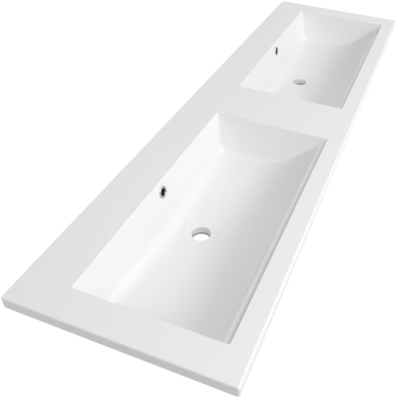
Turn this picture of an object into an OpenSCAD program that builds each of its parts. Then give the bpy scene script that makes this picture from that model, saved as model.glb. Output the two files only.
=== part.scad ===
// Double washbasin, 1600 mm wide, cast in one piece with two rectangular bowls.
// Front is -Y, back is +Y, and the deck faces +Z. The origin is under the middle of the slab,
// at the level of the waste bosses' lower faces.

/* [Slab] */
// Length of the slab
slab_l = 1600; // [1580:10:1760]
// Depth of the slab, front to back
slab_w = 460; // [450:5:520]
// Height of the slab's outer edge
edge_h = 25; // [22:1:36]
// Thickness of the slab's outer edge
edge_t = 14; // [10:1:18]
// Thickness of the deck and of the bowls' walls
wall = 12; // [10:0.5:14]
// Radius of the slab's corners, seen from above
corner_r = 5; // [4:0.5:12]
// Radius along the slab's top edge at the ends and the back
edge_r = 3; // [2:0.5:3.5]
// Radius along the slab's top edge in front
front_edge_r = 6; // [3:0.5:8]
// Height of the whole casting, deck to waste bosses
total_h = 150; // [146:1:170]

/* [Bowls] */
// Length of a bowl at its rim
bowl_l = 652; // [600:2:654]
// Width of a bowl at its rim, front to back
bowl_w = 311; // [290:1:312]
// Deck between the two bowls
bowl_gap = 162; // [146:2:170]
// Deck in front of the bowls
front_rim = 46; // [42:1:54]
// Depth of the floor beside the waste
floor_d = 122; // [112:1:126]
// Fall of the floor from a bowl's ends to its waste, in degrees
floor_fall = 5; // [2:0.1:5.5]
// Inward lean of the back wall for each unit of depth
back_lean = 0.24; // [0.2:0.02:0.36]
// Inward lean of the end walls for each unit of depth
end_lean = 0.32; // [0.2:0.02:0.4]
// Angle of the front slope above level, in degrees
front_angle = 38; // [34:1:42]
// Radius between the front slope and the floor
front_blend_r = 150; // [80:5:170]
// Radius between the back wall and the floor
back_blend_r = 35; // [20:1:45]
// Radius between the end walls and the floor
end_blend_r = 18; // [10:1:30]
// Radius of the floor where its two falls meet
valley_r = 800; // [400:50:1200]
// Radius along the bowls' rims
rim_r = 2.5; // [1.5:0.5:3.5]

/* [Front lip] */
// Depth of the lip under the front rim
lip_d = 19.5; // [14:0.5:24]
// Width of the ledge at the lip's foot
ledge_w = 16; // [12:0.5:20]
// Radius in the corner between lip and ledge
lip_r = 9; // [4:0.5:10]

/* [Waste] */
// Radius of the waste's bore
waste_r = 22.5; // [22:0.5:24]
// Distance of the wastes from the slab's front
waste_from_front = 256; // [246:1:262]
// Radius of the level seat around a waste's bore
seat_r = 28; // [26:1:34]
// Depth of that seat below the floor
seat_d = 3; // [2:0.5:4]
// Angle of the dish that rises from the seat, in degrees
dish_angle = 15; // [12:1:30]
// Radius at the bore's upper edge
waste_edge_r = 2.5; // [1:0.5:3]
// Radius of the boss below a bowl
boss_r = 42; // [38:1:50]

/* [Overflow] */
// Depth of an overflow's middle below the deck
overflow_d = 27; // [24:1:32]
// Radius of the overflow's hole
overflow_r = 11.75; // [11.25:0.25:12.5]
// Outer radius of the overflow ring
ring_r = 15; // [14:0.5:17]
// Bore radius of the overflow ring
ring_bore_r = 9.3; // [8:0.1:9.5]
// Thickness of the overflow ring's face
ring_face_t = 2.4; // [1.6:0.2:3]
// Width of the overflow duct
duct_w = 60; // [40:2:64]
// Depth of the overflow duct, outside
duct_h = 15; // [12:1:15]
// Thickness of the duct's sheet
duct_t = 3; // [2:0.5:3.5]
// Radius of the port from the duct into the waste
port_r = 5.2; // [4:0.1:5.4]

/* [Fixings] */
// Spacing of the fixing inserts along the slab
insert_span_x = 1522; // [1516:2:1528]
// Spacing of the fixing inserts across the slab
insert_span_y = 300; // [200:10:340]
// Radius of an insert's threaded hole
insert_bore_r = 3.4; // [2.8:0.1:4.2]
// Outer radius of an insert
insert_r = 6; // [5.5:0.5:8]
// Length of an insert
insert_l = 10; // [8:0.5:10]

/* [Hidden] */
$fn = 96;
big_fn = 720;
slack = 0.002;
out = 40;
left = -1;
right = 1;
bowl_x = (bowl_gap + bowl_l) / 2;
half_l = bowl_l / 2;
waste_y = waste_from_front - slab_w / 2;
front_y = front_rim - waste_from_front;
back_y = front_y + bowl_w;
ledge_y = front_y + ledge_w;
valley_d = floor_d + valley_r * (1 / cos(floor_fall) - 1);
seal_wall = 1.5;
sleeve_r = overflow_r - seal_wall;
sleeve_l = wall + 2;
dish_rise = 9;
pad_gap = 1;
pad_r = insert_r + 8;
groove = 0.8;

// A flat outline drawn in Y and Z, drawn out along X
module along_x(length) {
    rotate([90, 0, 90])
        linear_extrude(height = length, center = true)
            children();
}

// A flat outline drawn in X and Z, drawn out along Y
module along_y(length) {
    rotate([90, 0, 0])
        linear_extrude(height = length, center = true)
            children();
}

// A bowl's own frame: its waste's axis, at the level of the deck
module at_bowl(side) {
    translate([side * bowl_x, waste_y, total_h])
        children();
}

function unit(v) = v / norm(v);
function half_angle(u, v) = acos(u * v) / 2;

// Rounds the corner c of a flat outline, whose sides run from c towards a and b
module rounded(c, a, b, r) {
    u = unit(a - c);
    v = unit(b - c);
    middle = c + unit(u + v) * r / sin(half_angle(u, v));
    foot = r / tan(half_angle(u, v));
    difference() {
        children();
        difference() {
            polygon([middle, c + foot * u, 2 * c - middle, c + foot * v]);
            translate(middle)
                circle(r + slack, $fn = big_fn);
        }
    }
}

// The rounded rim over a wall that stands at x and leans in by lean for each unit of depth
module rim_flare(x, lean) {
    slant = sqrt(1 + lean * lean);
    middle = [x + rim_r * (slant - lean), -rim_r];
    foot = middle + rim_r / slant * [-1, lean];
    difference() {
        polygon([[x - out, 1], [middle[0], 1], middle, foot, [x - out, foot[1]]]);
        translate(middle)
            circle(rim_r + slack);
    }
}

// A bowl's outline from the side, grown by g: front slope, floor and back wall, without the lip
module side_outline(g) {
    slope = tan(front_angle);
    floor_z = -floor_d - g;
    drop = lip_d + g / cos(front_angle);
    back_top = back_y + g * sqrt(1 + back_lean * back_lean);
    front_top = [ledge_y - (drop + out) / slope, out];
    front_foot = [ledge_y - (floor_z + drop) / slope, floor_z];
    back_foot = [back_top + back_lean * floor_z, floor_z];
    back_head = [back_top + back_lean * out, out];
    rounded(front_foot, front_top, back_foot, front_blend_r + g)
        rounded(back_foot, front_foot, back_head, back_blend_r + g)
            polygon([front_top, front_foot, back_foot, back_head]);
}

// A bowl's outline from the front, grown by g: two end walls and a floor that falls to the waste
module end_outline(g) {
    fall = tan(floor_fall);
    top_x = half_l + g * sqrt(1 + end_lean * end_lean);
    valley_z = -valley_d - g / cos(floor_fall);
    foot_x = (top_x + end_lean * valley_z) / (1 - end_lean * fall);
    foot_z = valley_z + fall * foot_x;
    head_x = top_x + end_lean * out;
    valley = [0, valley_z];
    feet = [[-foot_x, foot_z], [foot_x, foot_z]];
    heads = [[-head_x, out], [head_x, out]];
    rounded(feet[0], heads[0], valley, end_blend_r + g)
        rounded(feet[1], valley, heads[1], end_blend_r + g)
            rounded(valley, feet[0], feet[1], valley_r + g)
                polygon([heads[0], feet[0], valley, feet[1], heads[1]]);
}

// The lip's outline: upright below the front rim, then a rounded corner and a level ledge
module lip_outline() {
    corner = [front_y, -lip_d];
    rounded(corner, [front_y, 0], [ledge_y, -lip_d], lip_r)
        translate(corner)
            square([ledge_w, lip_d + 1]);
}

// The water space of a bowl
module bowl_space() {
    intersection() {
        along_x(bowl_l + 2 * out)
            union() {
                intersection() {
                    side_outline(0);
                    translate([front_y, -total_h])
                        square([bowl_w + out, total_h + 1]);
                }
                lip_outline();
                rim_flare(back_y, back_lean);
                translate([front_y + back_y, 0])
                    mirror([1, 0])
                        rim_flare(back_y, 0);
            }
        along_y(2 * slab_w)
            union() {
                intersection() {
                    end_outline(0);
                    translate([-bowl_l, -total_h])
                        square([2 * bowl_l, total_h + 1]);
                }
                rim_flare(half_l, end_lean);
                mirror([1, 0])
                    rim_flare(half_l, end_lean);
            }
    }
}

// The solid block around a bowl, up to the deck's top
module bowl_block() {
    intersection() {
        along_x(bowl_l + 2 * out)
            side_outline(wall);
        along_y(2 * slab_w)
            end_outline(wall);
        translate([-bowl_l, -slab_w, -total_h])
            cube([2 * bowl_l, 2 * slab_w, total_h]);
    }
}

// A slab's outline with its two upper edges rounded, the first by r
module edge_outline(length, r) {
    translate([-length / 2, -edge_h])
        square([length, edge_h - r]);
    translate([r - length / 2, -edge_h])
        square([length - r, edge_h - edge_r]);
    translate([r - length / 2, -edge_h])
        square([length - r - edge_r, edge_h]);
    translate([r - length / 2, -r])
        circle(r);
    translate([length / 2 - edge_r, -edge_r])
        circle(edge_r);
}

// A rectangle with round corners, seen from above
module round_rectangle(length, width, r) {
    square([length - 2 * r, width], center = true);
    square([length, width - 2 * r], center = true);
    for (x = [left, right], y = [left, right])
        translate([x * (length / 2 - r), y * (width / 2 - r)])
            circle(r);
}

// The slab without its bowls: a deck with an edge turned down all round
module slab() {
    difference() {
        intersection() {
            translate([0, 0, -edge_h])
                linear_extrude(height = edge_h)
                    round_rectangle(slab_l, slab_w, corner_r);
            along_x(slab_l)
                edge_outline(slab_w, front_edge_r);
            along_y(slab_w)
                edge_outline(slab_l, edge_r);
        }
        translate([0, 0, -edge_h - 1])
            linear_extrude(height = edge_h - wall + 1)
                round_rectangle(slab_l - 2 * edge_t, slab_w - 2 * edge_t, corner_r);
    }
}

// The boss that carries the waste's bore
module waste_boss() {
    translate([0, 0, -total_h])
        cylinder(r = boss_r, h = total_h - floor_d);
}

// What the waste takes out of the casting: dish, rounded edge and bore
module waste_cut() {
    mouth_r = waste_r + waste_edge_r;
    edge_z = -floor_d - seat_d - waste_edge_r;
    translate([0, 0, -floor_d - seat_d])
        cylinder(r1 = seat_r, r2 = seat_r + dish_rise / tan(dish_angle), h = dish_rise);
    translate([0, 0, -total_h - 1])
        cylinder(r = waste_r, h = total_h);
    rotate_extrude()
        difference() {
            translate([0, edge_z])
                square([mouth_r, waste_edge_r + 1]);
            translate([mouth_r, edge_z])
                circle(waste_edge_r);
        }
}

// The frame of an overflow: on the back wall's face, +Z out of the hole into the bowl
module at_overflow() {
    translate([0, back_y - back_lean * overflow_d, -overflow_d])
        rotate([90 - atan(back_lean), 0, 0])
            children();
}

// A fixing insert without its thread, its lower face at the origin
module insert_blank() {
    cylinder(r = insert_r, h = insert_l / 3);
    cylinder(r = insert_r - groove, h = insert_l);
    translate([0, 0, insert_l * 2 / 3])
        cylinder(r = insert_r, h = insert_l / 3);
}

// The four places of the fixing inserts, at the lower faces of their pads
module at_inserts() {
    for (x = [left, right], y = [left, right])
        translate([x * insert_span_x / 2, y * insert_span_y / 2, total_h - edge_h + pad_gap])
            children();
}

// The cast basin: slab, two bowls, waste bosses and the pads for the inserts
module basin_top() {
    color("white")
        difference() {
            union() {
                translate([0, 0, total_h])
                    slab();
                for (side = [left, right])
                    at_bowl(side) {
                        bowl_block();
                        waste_boss();
                    }
                at_inserts()
                    cylinder(r = pad_r, h = edge_h - wall);
            }
            for (side = [left, right])
                at_bowl(side) {
                    bowl_space();
                    waste_cut();
                    at_overflow()
                        translate([0, 0, -out])
                            cylinder(r = overflow_r, h = 2 * out);
                    translate([0, 0, -floor_d - wall - duct_t - port_r])
                        rotate([-90, 0, 0])
                            cylinder(r = port_r, h = boss_r + 1);
                }
            at_inserts()
                insert_blank();
        }
}

// The chrome ring: a domed face on the wall and a sleeve through the hole
module overflow_ring(side) {
    color("silver")
        at_bowl(side)
            at_overflow()
                rotate_extrude() {
                    translate([ring_bore_r, 0])
                        square([ring_r - ring_bore_r - ring_face_t / 2, ring_face_t]);
                    translate([ring_bore_r, 0])
                        square([ring_r - ring_bore_r, ring_face_t / 2]);
                    translate([ring_r - ring_face_t / 2, ring_face_t / 2])
                        circle(ring_face_t / 2);
                    translate([ring_bore_r, -sleeve_l])
                        square([sleeve_r - ring_bore_r, sleeve_l]);
                }
}

// The soft sleeve that grips between ring and hole
module overflow_seal(side) {
    rib_h = 1.6;
    rib_step = 3.2;
    ribs = 3;
    color("gainsboro")
        at_bowl(side)
            at_overflow()
                rotate_extrude() {
                    translate([sleeve_r, -wall + 1])
                        square([seal_wall / 2, wall - 1]);
                    for (i = [1 : ribs])
                        translate([sleeve_r, -i * rib_step])
                            square([seal_wall, rib_h]);
                }
}

// The duct: a channel bonded outside the back wall and under the floor, closed by the casting
module overflow_duct(side) {
    color("whitesmoke")
        at_bowl(side)
            difference() {
                duct_body(duct_w, 0);
                duct_body(duct_w - 2 * duct_t, duct_t);
                bowl_block();
                waste_boss();
            }
}

// The space that a duct of this width fills, set in by t from the duct's outside
module duct_body(width, t) {
    along_x(width)
        intersection() {
            side_outline(wall + duct_h - t);
            translate([0, -total_h])
                square([back_y + out + wall, total_h - wall - t]);
        }
}

// The threaded inserts, cast into the pads under the deck
module fixing_inserts() {
    color("goldenrod")
        at_inserts()
            difference() {
                insert_blank();
                translate([0, 0, -1])
                    cylinder(r = insert_bore_r, h = insert_l);
            }
}

basin_top();
overflow_ring(left);  // overflow_ring_left
overflow_ring(right);  // overflow_ring_right
overflow_seal(left);  // overflow_seal_left
overflow_seal(right);  // overflow_seal_right
overflow_duct(left);  // overflow_duct_left
overflow_duct(right);  // overflow_duct_right
fixing_inserts();
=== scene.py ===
import math

import bpy
from mathutils import Matrix, Vector


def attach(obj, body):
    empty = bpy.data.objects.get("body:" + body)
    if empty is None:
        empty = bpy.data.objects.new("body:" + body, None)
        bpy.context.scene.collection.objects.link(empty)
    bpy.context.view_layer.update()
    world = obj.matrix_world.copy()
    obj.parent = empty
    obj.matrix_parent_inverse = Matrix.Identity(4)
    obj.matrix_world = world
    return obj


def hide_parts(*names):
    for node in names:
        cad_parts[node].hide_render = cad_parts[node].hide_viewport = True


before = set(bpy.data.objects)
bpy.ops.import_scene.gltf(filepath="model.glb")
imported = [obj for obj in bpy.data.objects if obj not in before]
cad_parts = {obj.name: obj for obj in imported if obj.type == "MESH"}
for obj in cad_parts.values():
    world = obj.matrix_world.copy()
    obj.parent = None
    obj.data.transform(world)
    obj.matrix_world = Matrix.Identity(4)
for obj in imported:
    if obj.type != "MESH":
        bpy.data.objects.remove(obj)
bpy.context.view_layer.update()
print("frame loaded:", len(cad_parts), "nodes")


# small helpers for work in object and edit mode

def activate(piece):
    bpy.ops.object.select_all(action="DESELECT")
    piece.select_set(True)
    bpy.context.view_layer.objects.active = piece


def editMode(on):
    bpy.ops.object.mode_set(mode="EDIT" if on else "OBJECT")


def applyPlace(piece):
    activate(piece)
    bpy.ops.object.transform_apply(location=True, rotation=True, scale=True)


def addCube(name, low, high):
    bpy.ops.object.select_all(action="DESELECT")
    middle = [(a + b) / 2 for a, b in zip(low, high)]
    size = [b - a for a, b in zip(low, high)]
    bpy.ops.mesh.primitive_cube_add(size=1, location=middle, scale=size)
    piece = bpy.context.object
    piece.name = name
    applyPlace(piece)
    return piece


def addCylinder(name, radius, low, high, sides=96):
    bpy.ops.object.select_all(action="DESELECT")
    bpy.ops.mesh.primitive_cylinder_add(vertices=sides, radius=radius, depth=high - low,
                                        location=(0, 0, (low + high) / 2))
    piece = bpy.context.object
    piece.name = name
    applyPlace(piece)
    return piece


def copyOf(piece, name, matrix):
    twin = piece.copy()
    twin.data = piece.data.copy()
    twin.name = name
    bpy.context.scene.collection.objects.link(twin)
    twin.data.transform(matrix)
    return twin


def pickNone(mesh):
    for kind in (mesh.vertices, mesh.edges, mesh.polygons):
        kind.foreach_set("select", [False] * len(kind))


def pickEdges(piece, wanted):
    # wanted gets an edge's two ends and the two faces beside it
    mesh = piece.data
    beside = {}
    for face in mesh.polygons:
        for key in face.edge_keys:
            beside.setdefault(key, []).append(face)
    bpy.context.tool_settings.mesh_select_mode = (False, True, False)
    pickNone(mesh)
    count = 0
    for edge in mesh.edges:
        a, b = (mesh.vertices[i].co for i in edge.vertices)
        faces = beside.get(edge.key, [])
        if len(faces) == 2 and wanted(a, b, faces):
            edge.select = True
            count += 1
    return count


def pickFaces(piece, wanted):
    mesh = piece.data
    bpy.context.tool_settings.mesh_select_mode = (False, False, True)
    pickNone(mesh)
    count = 0
    for face in mesh.polygons:
        if wanted(face.center, face.normal):
            face.select = True
            count += 1
    return count


def bevelPicked(piece, width, segments, profile=0.5):
    activate(piece)
    editMode(True)
    bpy.ops.mesh.bevel(offset=width, offset_type="OFFSET", segments=segments, profile=profile,
                       affect="EDGES", clamp_overlap=False, loop_slide=True)
    editMode(False)


def bevelWeighted(piece, width, segments, weightOf):
    # bevels the picked edges: weightOf gets an edge's two ends and gives its share of the width
    mesh = piece.data
    weights = mesh.attributes.new(name="bevel_weight_edge", type="FLOAT", domain="EDGE")
    for edge in mesh.edges:
        a, b = (mesh.vertices[i].co for i in edge.vertices)
        weights.data[edge.index].value = weightOf(a, b) if edge.select else 0
    activate(piece)
    modifier = piece.modifiers.new("bevel", "BEVEL")
    modifier.limit_method = "WEIGHT"
    modifier.offset_type = "OFFSET"
    modifier.width = width
    modifier.segments = segments
    modifier.use_clamp_overlap = False
    bpy.ops.object.modifier_apply(modifier=modifier.name)
    mesh = piece.data
    mesh.attributes.remove(mesh.attributes["bevel_weight_edge"])


def pickVertices(piece, wanted):
    mesh = piece.data
    bpy.context.tool_settings.mesh_select_mode = (True, False, False)
    pickNone(mesh)
    count = 0
    for vertex in mesh.vertices:
        if wanted(vertex.co):
            vertex.select = True
            count += 1
    return count


def trim(piece, point, normal, clear=True):
    activate(piece)
    editMode(True)
    bpy.ops.mesh.select_all(action="SELECT")
    bpy.ops.mesh.bisect(plane_co=point, plane_no=normal, use_fill=clear, clear_outer=clear)
    editMode(False)


def tidyFaces(piece, dissolve=None, closer=1e-6):
    activate(piece)
    editMode(True)
    bpy.ops.mesh.select_all(action="SELECT")
    bpy.ops.mesh.remove_doubles(threshold=closer)
    if dissolve:
        bpy.ops.mesh.dissolve_limited(angle_limit=dissolve)
    bpy.ops.mesh.normals_make_consistent(inside=False)
    editMode(False)


def combine(piece, other, operation):
    activate(piece)
    modifier = piece.modifiers.new("combine", "BOOLEAN")
    modifier.operation = operation
    modifier.solver = "EXACT"
    modifier.material_mode = "TRANSFER"
    modifier.object = other
    bpy.ops.object.modifier_apply(modifier=modifier.name)
    bpy.data.objects.remove(other)


def stepUp(piece, profile):
    # carries the selected end face on through a list of (radius factor, height) steps
    activate(piece)
    editMode(True)
    for factor, rise in profile:
        bpy.ops.mesh.extrude_region_move(TRANSFORM_OT_translate={"value": (0, 0, rise)})
        bpy.ops.transform.resize(value=(factor, factor, 1), center_override=(0, 0, 0))
    editMode(False)


def finishShading(piece, angle=30):
    activate(piece)
    bpy.ops.object.shade_smooth_by_angle(angle=math.radians(angle))
    modifier = piece.modifiers.new("even shading", "WEIGHTED_NORMAL")
    modifier.keep_sharp = True
    modifier.weight = 100
    bpy.ops.object.modifier_apply(modifier=modifier.name)


def give(piece, *materials):
    piece.data.materials.clear()
    for material in materials:
        piece.data.materials.append(material)


# materials

def newMaterial(name, **values):
    material = bpy.data.materials.new(name)
    material.use_nodes = True
    shader = material.node_tree.nodes["Principled BSDF"]
    for socket, value in values.items():
        shader.inputs[socket.replace("_", " ")].default_value = value
    return material, material.node_tree, shader


def noiseOn(tree, scale, detail=3.0, stretch=(1, 1, 1)):
    place = tree.nodes.new("ShaderNodeTexCoord")
    mapping = tree.nodes.new("ShaderNodeMapping")
    mapping.inputs["Scale"].default_value = stretch
    noise = tree.nodes.new("ShaderNodeTexNoise")
    noise.inputs["Scale"].default_value = scale
    noise.inputs["Detail"].default_value = detail
    tree.links.new(place.outputs["Object"], mapping.inputs["Vector"])
    tree.links.new(mapping.outputs["Vector"], noise.inputs["Vector"])
    return noise.outputs["Fac"]


def spread(tree, source, low, high):
    ramp = tree.nodes.new("ShaderNodeMapRange")
    ramp.inputs["From Min"].default_value = 0.3
    ramp.inputs["From Max"].default_value = 0.7
    ramp.inputs["To Min"].default_value = low
    ramp.inputs["To Max"].default_value = high
    tree.links.new(source, ramp.inputs["Value"])
    return ramp.outputs["Result"]


def tint(tree, source, dark, light):
    ramp = tree.nodes.new("ShaderNodeValToRGB")
    ramp.color_ramp.elements[0].position = 0.35
    ramp.color_ramp.elements[1].position = 0.65
    ramp.color_ramp.elements[0].color = (*dark, 1)
    ramp.color_ramp.elements[1].color = (*light, 1)
    tree.links.new(source, ramp.inputs["Fac"])
    return ramp.outputs["Color"]


def bumpFrom(tree, source, distance, strength=1.0, below=None):
    bump = tree.nodes.new("ShaderNodeBump")
    bump.inputs["Distance"].default_value = distance
    bump.inputs["Strength"].default_value = strength
    tree.links.new(source, bump.inputs["Height"])
    if below is not None:
        tree.links.new(below, bump.inputs["Normal"])
    return bump.outputs["Normal"]


def glossyWhite():
    material, tree, shader = newMaterial("glossy_white", Coat_Weight=0.15, Coat_Roughness=0.14)
    slow = noiseOn(tree, 2.3, 2.0)
    fine = noiseOn(tree, 60.0, 2.0)
    white = tint(tree, slow, (0.862, 0.8615, 0.8625), (0.872, 0.872, 0.8725))
    tree.links.new(white, shader.inputs["Base Color"])
    tree.links.new(spread(tree, fine, 0.30, 0.34), shader.inputs["Roughness"])
    return material


def rawCasting():
    material, tree, shader = newMaterial("raw_underside")
    mottle = noiseOn(tree, 18.0, 5.0)
    grit = noiseOn(tree, 420.0, 3.0)
    tree.links.new(tint(tree, mottle, (0.70, 0.70, 0.68), (0.78, 0.78, 0.765)), shader.inputs["Base Color"])
    tree.links.new(spread(tree, mottle, 0.6, 0.75), shader.inputs["Roughness"])
    tree.links.new(bumpFrom(tree, grit, 0.0004, 0.5), shader.inputs["Normal"])
    return material


def paintedBoreShade():
    # the waste bore's lower half, painted darker as painted shade for the deep, unlit part of the bore
    material, tree, shader = newMaterial("painted_bore_shade", Roughness=0.8)
    grit = noiseOn(tree, 350.0, 4.0)
    tree.links.new(tint(tree, grit, (0.50, 0.495, 0.485), (0.60, 0.595, 0.58)), shader.inputs["Base Color"])
    tree.links.new(bumpFrom(tree, grit, 0.0003, 0.5), shader.inputs["Normal"])
    return material


def polishedChrome():
    material, tree, shader = newMaterial("polished_chrome", Metallic=1.0)
    haze = noiseOn(tree, 300.0, 3.0)
    tree.links.new(tint(tree, haze, (0.52, 0.53, 0.545), (0.60, 0.61, 0.625)), shader.inputs["Base Color"])
    tree.links.new(spread(tree, haze, 0.05, 0.1), shader.inputs["Roughness"])
    return material


def softSeal():
    material, tree, shader = newMaterial("soft_seal")
    haze = noiseOn(tree, 200.0, 3.0)
    tree.links.new(tint(tree, haze, (0.50, 0.51, 0.52), (0.58, 0.59, 0.60)), shader.inputs["Base Color"])
    tree.links.new(spread(tree, haze, 0.5, 0.65), shader.inputs["Roughness"])
    return material


def mouldedPlastic():
    material, tree, shader = newMaterial("moulded_plastic")
    haze = noiseOn(tree, 30.0, 3.0)
    grain = noiseOn(tree, 900.0, 2.0)
    tree.links.new(tint(tree, haze, (0.77, 0.77, 0.755), (0.81, 0.81, 0.80)), shader.inputs["Base Color"])
    tree.links.new(spread(tree, haze, 0.4, 0.5), shader.inputs["Roughness"])
    tree.links.new(bumpFrom(tree, grain, 0.00015, 0.4), shader.inputs["Normal"])
    return material


def turnedBrass():
    material, tree, shader = newMaterial("turned_brass", Metallic=1.0)
    lines = noiseOn(tree, 500.0, 2.0, (0.1, 0.1, 6.0))
    tree.links.new(tint(tree, lines, (0.62, 0.47, 0.22), (0.76, 0.60, 0.31)), shader.inputs["Base Color"])
    tree.links.new(spread(tree, lines, 0.25, 0.4), shader.inputs["Roughness"])
    return material


glossy = glossyWhite()
raw = rawCasting()
boreShade = paintedBoreShade()
chrome = polishedChrome()
rubber = softSeal()
plastic = mouldedPlastic()
brass = turnedBrass()
print("materials made")


# the casting: slab, two bowls, waste bosses and pads

slabSizes = {"length": 1.6, "width": 0.46, "edge": 0.025, "wall": 0.012, "turnedEdge": 0.014,
             "corner": 0.005, "topRadius": 0.003, "frontRadius": 0.006, "deck": 0.15}

bowlSizes = {"middle": 0.407, "halfLength": 0.326, "frontY": -0.184, "backY": 0.127, "ledgeY": -0.168,
             "lip": 0.0195, "slope": 38.0, "backLean": 0.24, "endLean": 0.32, "depth": 0.122, "fall": 5.0,
             "valleyRadius": 0.8, "slopeRadius": 0.15, "softness": 0.55, "backRadius": 0.055,
             "backTighter": 0.4, "tighterAt": 0.3, "lipRadius": 0.009, "ledgeRadius": 0.006,
             "creaseWidth": 0.0035, "footWidth": 0.01, "rimWidth": 0.0021}

# the bore's cut starts at paintedShadeTop: below this height the bore gets the darker painted shade
wasteSizes = {"y": 0.026, "bore": 0.0225, "edge": 0.0025, "seat": 0.028, "seatDepth": 0.125, "dish": 15.0,
              "dishReach": 0.03, "boss": 0.042, "bossTop": 0.034, "bossRounding": 0.0012, "paintedShadeTop": 0.007}

overflowSizes = {"depth": 0.027, "hole": 0.01175, "port": 0.0052, "portZ": 0.0078}

insertSizes = {"x": 0.761, "y": 0.15, "low": 0.126, "radius": 0.006, "neck": 0.0052, "length": 0.01,
               "pad": 0.014, "padRounding": 0.0008}


def tangentWidth(radius, turn):
    # how far a fillet of this radius reaches from an edge that turns by this many degrees
    return radius * math.tan(math.radians(turn) / 2)


def facing(face, wanted, limit=0.9999):
    return face.normal.dot(wanted) > limit


def between(faces, first, second, limit=0.9999):
    one, two = faces
    return (facing(one, first, limit) and facing(two, second, limit)
            or facing(one, second, limit) and facing(two, first, limit))


def bowlPlanes(grow):
    s = bowlSizes
    deck = slabSizes["deck"]
    slope = math.radians(s["slope"])
    planes = {
        "back": ((0, s["backY"], deck), (0, 1, -s["backLean"])),
        "left": ((-s["halfLength"], 0, deck), (-1, 0, -s["endLean"])),
        "right": ((s["halfLength"], 0, deck), (1, 0, -s["endLean"])),
        "floor": ((0, 0, deck - s["depth"]), (0, 0, -1)),
        "slope": ((0, s["ledgeY"], deck - s["lip"]), (0, -math.sin(slope), -math.cos(slope))),
    }
    grown = {}
    for name, (point, normal) in planes.items():
        normal = Vector(normal).normalized()
        grown[name] = (Vector(point) + grow * normal, normal)
    return grown


def raiseFloor(body, planes):
    # cuts the body across and lifts each cut's floor by the fall to the middle: the front blend slides
    # along the slope, the back fillet up the back wall, and it grows tighter towards the ends
    s = bowlSizes
    fall = math.radians(s["fall"])
    flat = s["valleyRadius"] * math.sin(fall)
    sections = [0.0] + [flat * i / 5 for i in range(1, 6)] + [0.14, 0.2, 0.26]
    floor = planes["floor"][0].z
    front = 1 / math.tan(math.radians(s["slope"]))
    backPoint, backNormal = planes["back"]
    for x in sections:
        for side in (-1, 1) if x else (1,):
            trim(body, (side * x, 0, 0), (1, 0, 0), clear=False)
    for x in sections[1:] + [0.45]:
        if x <= flat:
            lift = s["valleyRadius"] - math.sqrt(s["valleyRadius"] ** 2 - x * x)
        else:
            lift = s["valleyRadius"] * (1 - math.cos(fall)) + (x - flat) * math.tan(fall)
        corner = backPoint.y + (floor - backPoint.z) * s["backLean"] + s["backLean"] * lift
        share = 1 - (1 - s["backTighter"]) * x / s["tighterAt"]
        for onFront in (True, False):
            pickVertices(body, lambda c: abs(abs(c.x) - x) < 1e-4 and c.z < floor + 0.075
                         and (c.y < 0.03) == onFront)
            activate(body)
            editMode(True)
            move = -front * lift if onFront else s["backLean"] * lift
            bpy.ops.transform.translate(value=(0, move, lift))
            if not onFront:
                bpy.ops.transform.resize(value=(1, share, share), center_override=(0, corner, floor + lift))
            editMode(False)


def bowlBody(name, grow, top, lip):
    # the space of a bowl, or with grow the solid round it: first its outline from the side
    s = bowlSizes
    deck = slabSizes["deck"]
    planes = bowlPlanes(grow)
    slope, back, down = planes["slope"][1], planes["back"][1], Vector((0, 0, -1))
    body = addCube(name, (-0.45, -0.3, -0.05), (0.45, 0.25, top))
    give(body, glossy, raw)
    for word in ("back", "floor"):
        trim(body, *planes[word])
    if lip:
        # the upright lip under the front rim, with a level ledge at its foot
        trim(body, (0, s["frontY"], 0), (0, -1, 0))
        wedge = addCube("wedge", (-0.6, -0.5, -0.3), (0.6, 0.3, deck - s["lip"]))
        trim(wedge, planes["slope"][0], -slope)
        combine(body, wedge, "DIFFERENCE")
    else:
        trim(body, *planes["slope"])
    tidyFaces(body, math.radians(0.05))
    pickEdges(body, lambda a, b, f: between(f, down, slope) and max(a.z, b.z) < deck - 0.1)
    bevelPicked(body, tangentWidth(s["slopeRadius"] + grow, s["slope"]), 24, s["softness"])
    pickEdges(body, lambda a, b, f: between(f, down, back))
    turn = 90 - math.degrees(math.atan(s["backLean"]))
    bevelPicked(body, tangentWidth(s["backRadius"] + grow, turn), 18)
    if lip:
        pickEdges(body, lambda a, b, f: between(f, down, Vector((0, -1, 0))))
        bevelPicked(body, s["lipRadius"], 8)
        pickEdges(body, lambda a, b, f: between(f, down, slope) and min(a.z, b.z) > deck - 0.1)
        bevelPicked(body, tangentWidth(s["ledgeRadius"], s["slope"]), 4)
    raiseFloor(body, planes)
    # then its end walls
    ends = addCube("ends", (-0.5, -0.45, -0.1), (0.5, 0.4, 0.2))
    give(ends, glossy, raw)
    for word in ("left", "right"):
        trim(ends, *planes[word])
    for face in ends.data.polygons:
        face.material_index = 1
    combine(body, ends, "INTERSECT")
    tidyFaces(body)

    def isCrease(a, b, faces):
        one, two = faces
        turned = one.normal.angle(two.normal) > math.radians(12)
        return one.material_index != two.material_index and turned and min(one.normal.z, two.normal.z) < 0.5

    def creaseShare(a, b):
        # the end walls' feet and the corners beside the slope are rounder than the upright ones
        place = (a + b) / 2
        if place.y < 0:
            level = (deck - s["lip"] - 0.003 - place.z) / 0.03
        else:
            level = 1 - (place.z - footLevel) / 0.02
        small = s["creaseWidth"] / s["footWidth"]
        return small + (1 - small) * min(max(level, 0), 1)
    footLevel = min(v.co.z for v in body.data.vertices if abs(v.co.x) > s["halfLength"] - 0.06)
    count = pickEdges(body, isCrease)
    bevelWeighted(body, s["footWidth"], 6, creaseShare)
    tidyFaces(body, math.radians(0.03), 8e-5)
    for face in body.data.polygons:
        face.material_index = 0
    print(name, "crease edges", count, "faces", len(body.data.polygons))
    return body


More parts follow.
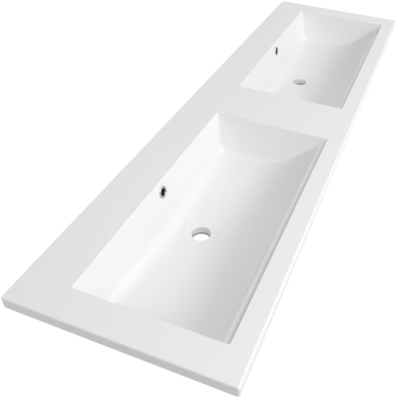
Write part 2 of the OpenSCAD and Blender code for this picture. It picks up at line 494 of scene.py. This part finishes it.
def slabBlock():
    s = slabSizes
    half, deep, deck = s["length"] / 2, s["width"] / 2, s["deck"]
    slab = addCube("casting", (-half, -deep, deck - s["edge"]), (half, deep, deck))
    pickEdges(slab, lambda a, b, f: abs(a.z - b.z) > 0.01)
    bevelPicked(slab, s["corner"], 6)

    def topShare(a, b):
        # the front's radius passes into the smaller one round the corners
        front = (s["corner"] - deep - (a.y + b.y) / 2) / s["corner"]
        small = s["topRadius"] / s["frontRadius"]
        return small + (1 - small) * min(max(front, 0), 1)
    pickEdges(slab, lambda a, b, f: min(a.z, b.z) > deck - 0.001)
    bevelWeighted(slab, s["frontRadius"], 8, topShare)
    pickFaces(slab, lambda c, n: n.z < -0.9)
    activate(slab)
    editMode(True)
    bpy.ops.mesh.inset(thickness=s["turnedEdge"], depth=0)
    bpy.ops.mesh.extrude_region_move(TRANSFORM_OT_translate={"value": (0, 0, s["edge"] - s["wall"])})
    editMode(False)
    tidyFaces(slab)
    for x in (-bowlSizes["middle"], 0, bowlSizes["middle"]):
        trim(slab, (x, 0, 0), (1, 0, 0), clear=False)
    return slab


def wasteCutter():
    s = wasteSizes
    deck = slabSizes["deck"]
    edgeZ = deck - s["seatDepth"] - s["edge"]
    cutter = addCylinder("waste_cut", s["bore"], -0.01, s["paintedShadeTop"], 96)
    steps = []
    radius, height = s["bore"], s["paintedShadeTop"]
    points = [(s["bore"], edgeZ)]
    for i in range(1, 7):
        angle = math.radians(90 * i / 6)
        points.append((s["bore"] + s["edge"] * (1 - math.cos(angle)), edgeZ + s["edge"] * math.sin(angle)))
    seatZ = deck - s["seatDepth"]
    rise = math.tan(math.radians(s["dish"]))
    for out, lift in ((-0.003, 0), (-0.0015, 0.0001), (0, 0.0004), (0.0015, 0.0009), (0.003, 0.0015)):
        points.append((s["seat"] + out, seatZ + lift * rise * 2))
    points.append((s["seat"] + s["dishReach"], seatZ + s["dishReach"] * rise))
    for r, z in points:
        steps.append((r / radius, z - height))
        radius, height = r, z
    pickFaces(cutter, lambda c, n: n.z > 0.9)
    stepUp(cutter, steps)
    return cutter


def insertBlank():
    s = insertSizes
    third = s["length"] / 3
    blank = addCylinder("insert_cut", s["radius"], -0.002, third, 48)
    pickFaces(blank, lambda c, n: n.z > 0.9)
    stepUp(blank, [(s["neck"] / s["radius"], 0), (1, third), (s["radius"] / s["neck"], 0), (1, third)])
    return blank


def overflowFrame(side):
    lean = math.atan(bowlSizes["backLean"])
    depth = overflowSizes["depth"]
    place = (side * bowlSizes["middle"], bowlSizes["backY"] - bowlSizes["backLean"] * depth,
             slabSizes["deck"] - depth)
    return Matrix.Translation(place) @ Matrix.Rotation(math.pi / 2 - lean, 4, "X")


def makeCasting():
    s = slabSizes
    middle = bowlSizes["middle"]
    casting = slabBlock()
    give(casting, glossy, raw)
    for face in casting.data.polygons:
        face.material_index = 1 if face.center.z < s["deck"] - s["edge"] + 0.0001 or (
            abs(face.center.x) < s["length"] / 2 - 0.01 and abs(face.center.y) < s["width"] / 2 - 0.01
            and face.center.z < s["deck"] - 0.001) else 0
    outer = bowlBody("bowl_outside", s["wall"], s["deck"] - 0.005, False)
    give(outer, raw)
    boss = addCylinder("boss", wasteSizes["boss"], 0, wasteSizes["bossTop"], 96)
    pickEdges(boss, lambda a, b, f: a.z < 0.001 and b.z < 0.001)
    bevelPicked(boss, wasteSizes["bossRounding"], 3)
    give(boss, raw)
    pad = addCylinder("pad", insertSizes["pad"], insertSizes["low"], s["deck"] - 0.006, 64)
    padFoot = insertSizes["low"] + 0.001
    pickEdges(pad, lambda a, b, f: max(a.z, b.z) < padFoot)
    bevelPicked(pad, insertSizes["padRounding"], 2)
    give(pad, raw)
    inner = bowlBody("bowl_inside", 0, s["deck"] + 0.01, True)
    give(inner, glossy)
    waste = wasteCutter()
    give(waste, glossy, boreShade)
    # faces low in the bore get the painted shade material, a darker colour that stands in for shade
    for face in waste.data.polygons:
        face.material_index = 1 if face.center.z < wasteSizes["paintedShadeTop"] - 0.001 else 0
    hole = addCylinder("overflow_cut", overflowSizes["hole"], -0.03, 0.02, 64)
    give(hole, glossy)
    port = addCylinder("port_cut", overflowSizes["port"], 0, 0.05, 32)
    give(port, raw)
    blank = insertBlank()
    give(blank, raw)
    for side in (-1, 1):
        shift = Matrix.Translation((side * middle, 0, 0))
        atWaste = Matrix.Translation((side * middle, wasteSizes["y"], 0))
        combine(casting, copyOf(outer, "outer", shift), "UNION")
        combine(casting, copyOf(boss, "boss_copy", atWaste), "UNION")
    for x in (-1, 1):
        for y in (-1, 1):
            place = Matrix.Translation((x * insertSizes["x"], y * insertSizes["y"], 0))
            combine(casting, copyOf(pad, "pad_copy", place), "UNION")
    print("solids joined:", len(casting.data.polygons), "faces")
    for side in (-1, 1):
        shift = Matrix.Translation((side * middle, 0, 0))
        atWaste = Matrix.Translation((side * middle, wasteSizes["y"], 0))
        toBack = Matrix.Translation((0, 0, overflowSizes["portZ"])) @ Matrix.Rotation(-math.pi / 2, 4, "X")
        combine(casting, copyOf(inner, "inner", shift), "DIFFERENCE")
        combine(casting, copyOf(waste, "waste", atWaste), "DIFFERENCE")
        combine(casting, copyOf(hole, "hole", overflowFrame(side)), "DIFFERENCE")
        combine(casting, copyOf(port, "port", atWaste @ toBack), "DIFFERENCE")
    for x in (-1, 1):
        for y in (-1, 1):
            place = Matrix.Translation((x * insertSizes["x"], y * insertSizes["y"], insertSizes["low"]))
            combine(casting, copyOf(blank, "blank", place), "DIFFERENCE")
    for part in (outer, boss, pad, inner, waste, hole, port, blank):
        bpy.data.objects.remove(part)
    tidyFaces(casting, closer=4e-5)
    # each bowl's end walls become one face again
    lean = Vector((1, 0, bowlSizes["endLean"])).normalized()
    pickFaces(casting, lambda c, n: abs(n.x) * lean.x + n.z * lean.z > 0.99999)
    activate(casting)
    editMode(True)
    bpy.ops.mesh.dissolve_limited(angle_limit=math.radians(0.05))
    editMode(False)
    deck = s["deck"]

    def isRim(a, b, faces):
        flat = abs(a.z - deck) < 1e-5 and abs(b.z - deck) < 1e-5
        return flat and any(f.normal.z > 0.999 for f in faces) and any(f.normal.z < 0.6 for f in faces)
    print("rim edges", pickEdges(casting, isRim))
    bevelPicked(casting, bowlSizes["rimWidth"], 6)
    tidyFaces(casting)
    finishShading(casting)
    print("casting:", len(casting.data.polygons), "faces")
    return casting


casting = makeCasting()
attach(casting, "root")
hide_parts("basin_top")


# the chrome rings: a domed face on the wall and a sleeve through the hole

ringSizes = {"outer": 0.015, "bore": 0.0093, "sleeve": 0.01025, "length": 0.014, "face": 0.0024,
             "backRounding": 0.0003, "rise": 0.0009, "domeRadius": 0.0015, "mouthRadius": 0.0016}


def makeRing(side, name):
    s = ringSizes
    outer, bore, top = s["outer"], s["bore"], s["face"]
    ring = addCylinder(name, s["sleeve"], -s["length"], 0, 96)
    # radius and height of each step from the sleeve over the dome and down the bore
    rise, domeRadius, mouth = s["rise"], s["domeRadius"], s["mouthRadius"]
    dome = [(outer - s["backRounding"], 0), (outer, s["backRounding"]), (outer, rise)]
    for i in range(1, 7):
        angle = math.radians(15 * i)
        dome.append((outer - domeRadius * (1 - math.cos(angle)), rise + (top - rise) * math.sin(angle)))
    dome.append((bore + mouth, top))
    for i in range(1, 6):
        angle = math.radians(18 * i)
        dome.append((bore + mouth * (1 - math.sin(angle)), top - mouth * (1 - math.cos(angle))))
    dome.append((bore, -s["length"]))
    radius, height, steps = s["sleeve"], 0.0, []
    for r, z in dome:
        steps.append((r / radius, z - height))
        radius, height = r, z
    pickFaces(ring, lambda c, n: n.z > 0.9)
    stepUp(ring, steps)
    # the bore's end and the sleeve's end are opened and joined
    pickFaces(ring, lambda c, n: abs(n.z) > 0.9 and abs(c.z + s["length"]) < 1e-5)
    activate(ring)
    editMode(True)
    bpy.ops.mesh.delete(type="FACE")
    bpy.ops.mesh.select_mode(type="EDGE")
    bpy.ops.mesh.select_non_manifold(extend=False, use_wire=False, use_boundary=True, use_multi_face=False,
                                     use_non_contiguous=False, use_verts=False)
    bpy.ops.mesh.bridge_edge_loops()
    editMode(False)
    tidyFaces(ring)
    ring.data.transform(overflowFrame(side))
    give(ring, chrome)
    finishShading(ring)
    return ring


for side, word in ((-1, "left"), (1, "right")):
    ring = makeRing(side, "ring_" + word)
    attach(ring, "root")
    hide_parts("overflow_ring_" + word)
print("rings made:", len(ring.data.polygons), "faces each")


# the pieces that keep the frame's own shape

for word in ("left", "right"):
    give(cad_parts["overflow_seal_" + word], rubber)
    give(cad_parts["overflow_duct_" + word], plastic)
give(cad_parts["fixing_inserts"], brass)
print("small pieces finished")


# floor, light and camera

stageValues = {"floorSize": 16.0, "floorGlow": 0.95, "floorTone": 0.5,
               "floorLevel": -0.0005, "faintTone": 0.14, "sky": 0.262}

# soft boxes: place, aim, size, power
boxes = [((0.7, -1.5, 0.9), (0.5, 0, 0.1), 0.8, 3.5), ((-0.7, -0.6, 1.4), (-0.6, 0, 0.1), 0.8, 4.8),
         ((0, -2.0, 1.8), (0, 0, 0.1), 1.8, 8.5)]
# broad suns: azimuth, elevation, angle, strength
suns = [(225, 25, 120, 0.65), (225, 50, 40, 0.532), (270, 15, 25, 0.46), (0, 45, 70, 0.268)]

cameraValues = {"place": (-1.18967, -0.37237, 0.91123), "turn": (0.89189, -0.03594, -1.2093),
                "lens": 46.56986, "film": 36.0, "shift": (-0.13657, -0.0618)}


def whiteFloor():
    bpy.ops.object.select_all(action="DESELECT")
    bpy.ops.mesh.primitive_plane_add(size=stageValues["floorSize"],
                                     location=(0, 0, stageValues["floorLevel"]))
    floor = bpy.context.object
    floor.name = "floor"
    material = bpy.data.materials.new("white_floor")
    material.use_nodes = True
    tree = material.node_tree
    tree.nodes.clear()
    output = tree.nodes.new("ShaderNodeOutputMaterial")
    matt = tree.nodes.new("ShaderNodeBsdfDiffuse")
    tone = stageValues["floorTone"]
    matt.inputs["Color"].default_value = (tone, tone, tone, 1)
    faint = tree.nodes.new("ShaderNodeBsdfDiffuse")
    faintTone = stageValues["faintTone"]
    faint.inputs["Color"].default_value = (faintTone, faintTone, faintTone, 1)
    glow = tree.nodes.new("ShaderNodeEmission")
    glow.inputs["Strength"].default_value = stageValues["floorGlow"]
    seen = tree.nodes.new("ShaderNodeAddShader")
    path = tree.nodes.new("ShaderNodeLightPath")
    either = tree.nodes.new("ShaderNodeMath")
    either.operation = "MAXIMUM"
    mix = tree.nodes.new("ShaderNodeMixShader")
    tree.links.new(path.outputs["Is Camera Ray"], either.inputs[0])
    tree.links.new(path.outputs["Is Glossy Ray"], either.inputs[1])
    tree.links.new(faint.outputs[0], seen.inputs[0])
    tree.links.new(glow.outputs[0], seen.inputs[1])
    tree.links.new(either.outputs[0], mix.inputs["Fac"])
    tree.links.new(matt.outputs[0], mix.inputs[1])
    tree.links.new(seen.outputs[0], mix.inputs[2])
    tree.links.new(mix.outputs[0], output.inputs["Surface"])
    floor.data.materials.append(material)


def whiteSky():
    world = bpy.data.worlds.new("sky")
    bpy.context.scene.world = world
    world.use_nodes = True
    tree = world.node_tree
    back = tree.nodes["Background"]
    back.inputs["Color"].default_value = (1, 1, 1, 1)
    path = tree.nodes.new("ShaderNodeLightPath")
    first = tree.nodes.new("ShaderNodeMath")
    first.operation = "MAXIMUM"
    second = tree.nodes.new("ShaderNodeMath")
    second.operation = "MAXIMUM"
    level = tree.nodes.new("ShaderNodeMapRange")
    level.inputs["To Min"].default_value = stageValues["sky"]
    level.inputs["To Max"].default_value = 1.0
    tree.links.new(path.outputs["Is Camera Ray"], first.inputs[0])
    tree.links.new(path.outputs["Is Glossy Ray"], first.inputs[1])
    tree.links.new(first.outputs[0], second.inputs[0])
    tree.links.new(path.outputs["Is Transmission Ray"], second.inputs[1])
    tree.links.new(second.outputs[0], level.inputs["Value"])
    tree.links.new(level.outputs["Result"], back.inputs["Strength"])


def placeLamps():
    for i, (place, aim, size, power) in enumerate(boxes):
        data = bpy.data.lights.new("box_%d" % i, "AREA")
        data.shape = "SQUARE"
        data.size = size
        data.energy = power
        lamp = bpy.data.objects.new(data.name, data)
        bpy.context.scene.collection.objects.link(lamp)
        lamp.location = place
        lamp.rotation_euler = (Vector(aim) - lamp.location).to_track_quat("-Z", "Y").to_euler()
    for i, (azimuth, elevation, angle, strength) in enumerate(suns):
        data = bpy.data.lights.new("sun_%d" % i, "SUN")
        data.energy = strength
        data.angle = math.radians(angle)
        lamp = bpy.data.objects.new(data.name, data)
        bpy.context.scene.collection.objects.link(lamp)
        turn, rise = math.radians(azimuth), math.radians(elevation)
        towards = Vector((math.cos(turn) * math.cos(rise), math.sin(turn) * math.cos(rise), math.sin(rise)))
        lamp.rotation_euler = towards.to_track_quat("Z", "Y").to_euler()


def photoCamera():
    data = bpy.data.cameras.new("camera")
    data.lens = cameraValues["lens"]
    data.sensor_width = cameraValues["film"]
    data.shift_x, data.shift_y = cameraValues["shift"]
    camera = bpy.data.objects.new("camera", data)
    bpy.context.scene.collection.objects.link(camera)
    camera.location = cameraValues["place"]
    camera.rotation_euler = cameraValues["turn"]
    bpy.context.scene.camera = camera


whiteFloor()
whiteSky()
placeLamps()
photoCamera()
bpy.context.scene.view_settings.view_transform = "Standard"
print("floor, light and camera set")
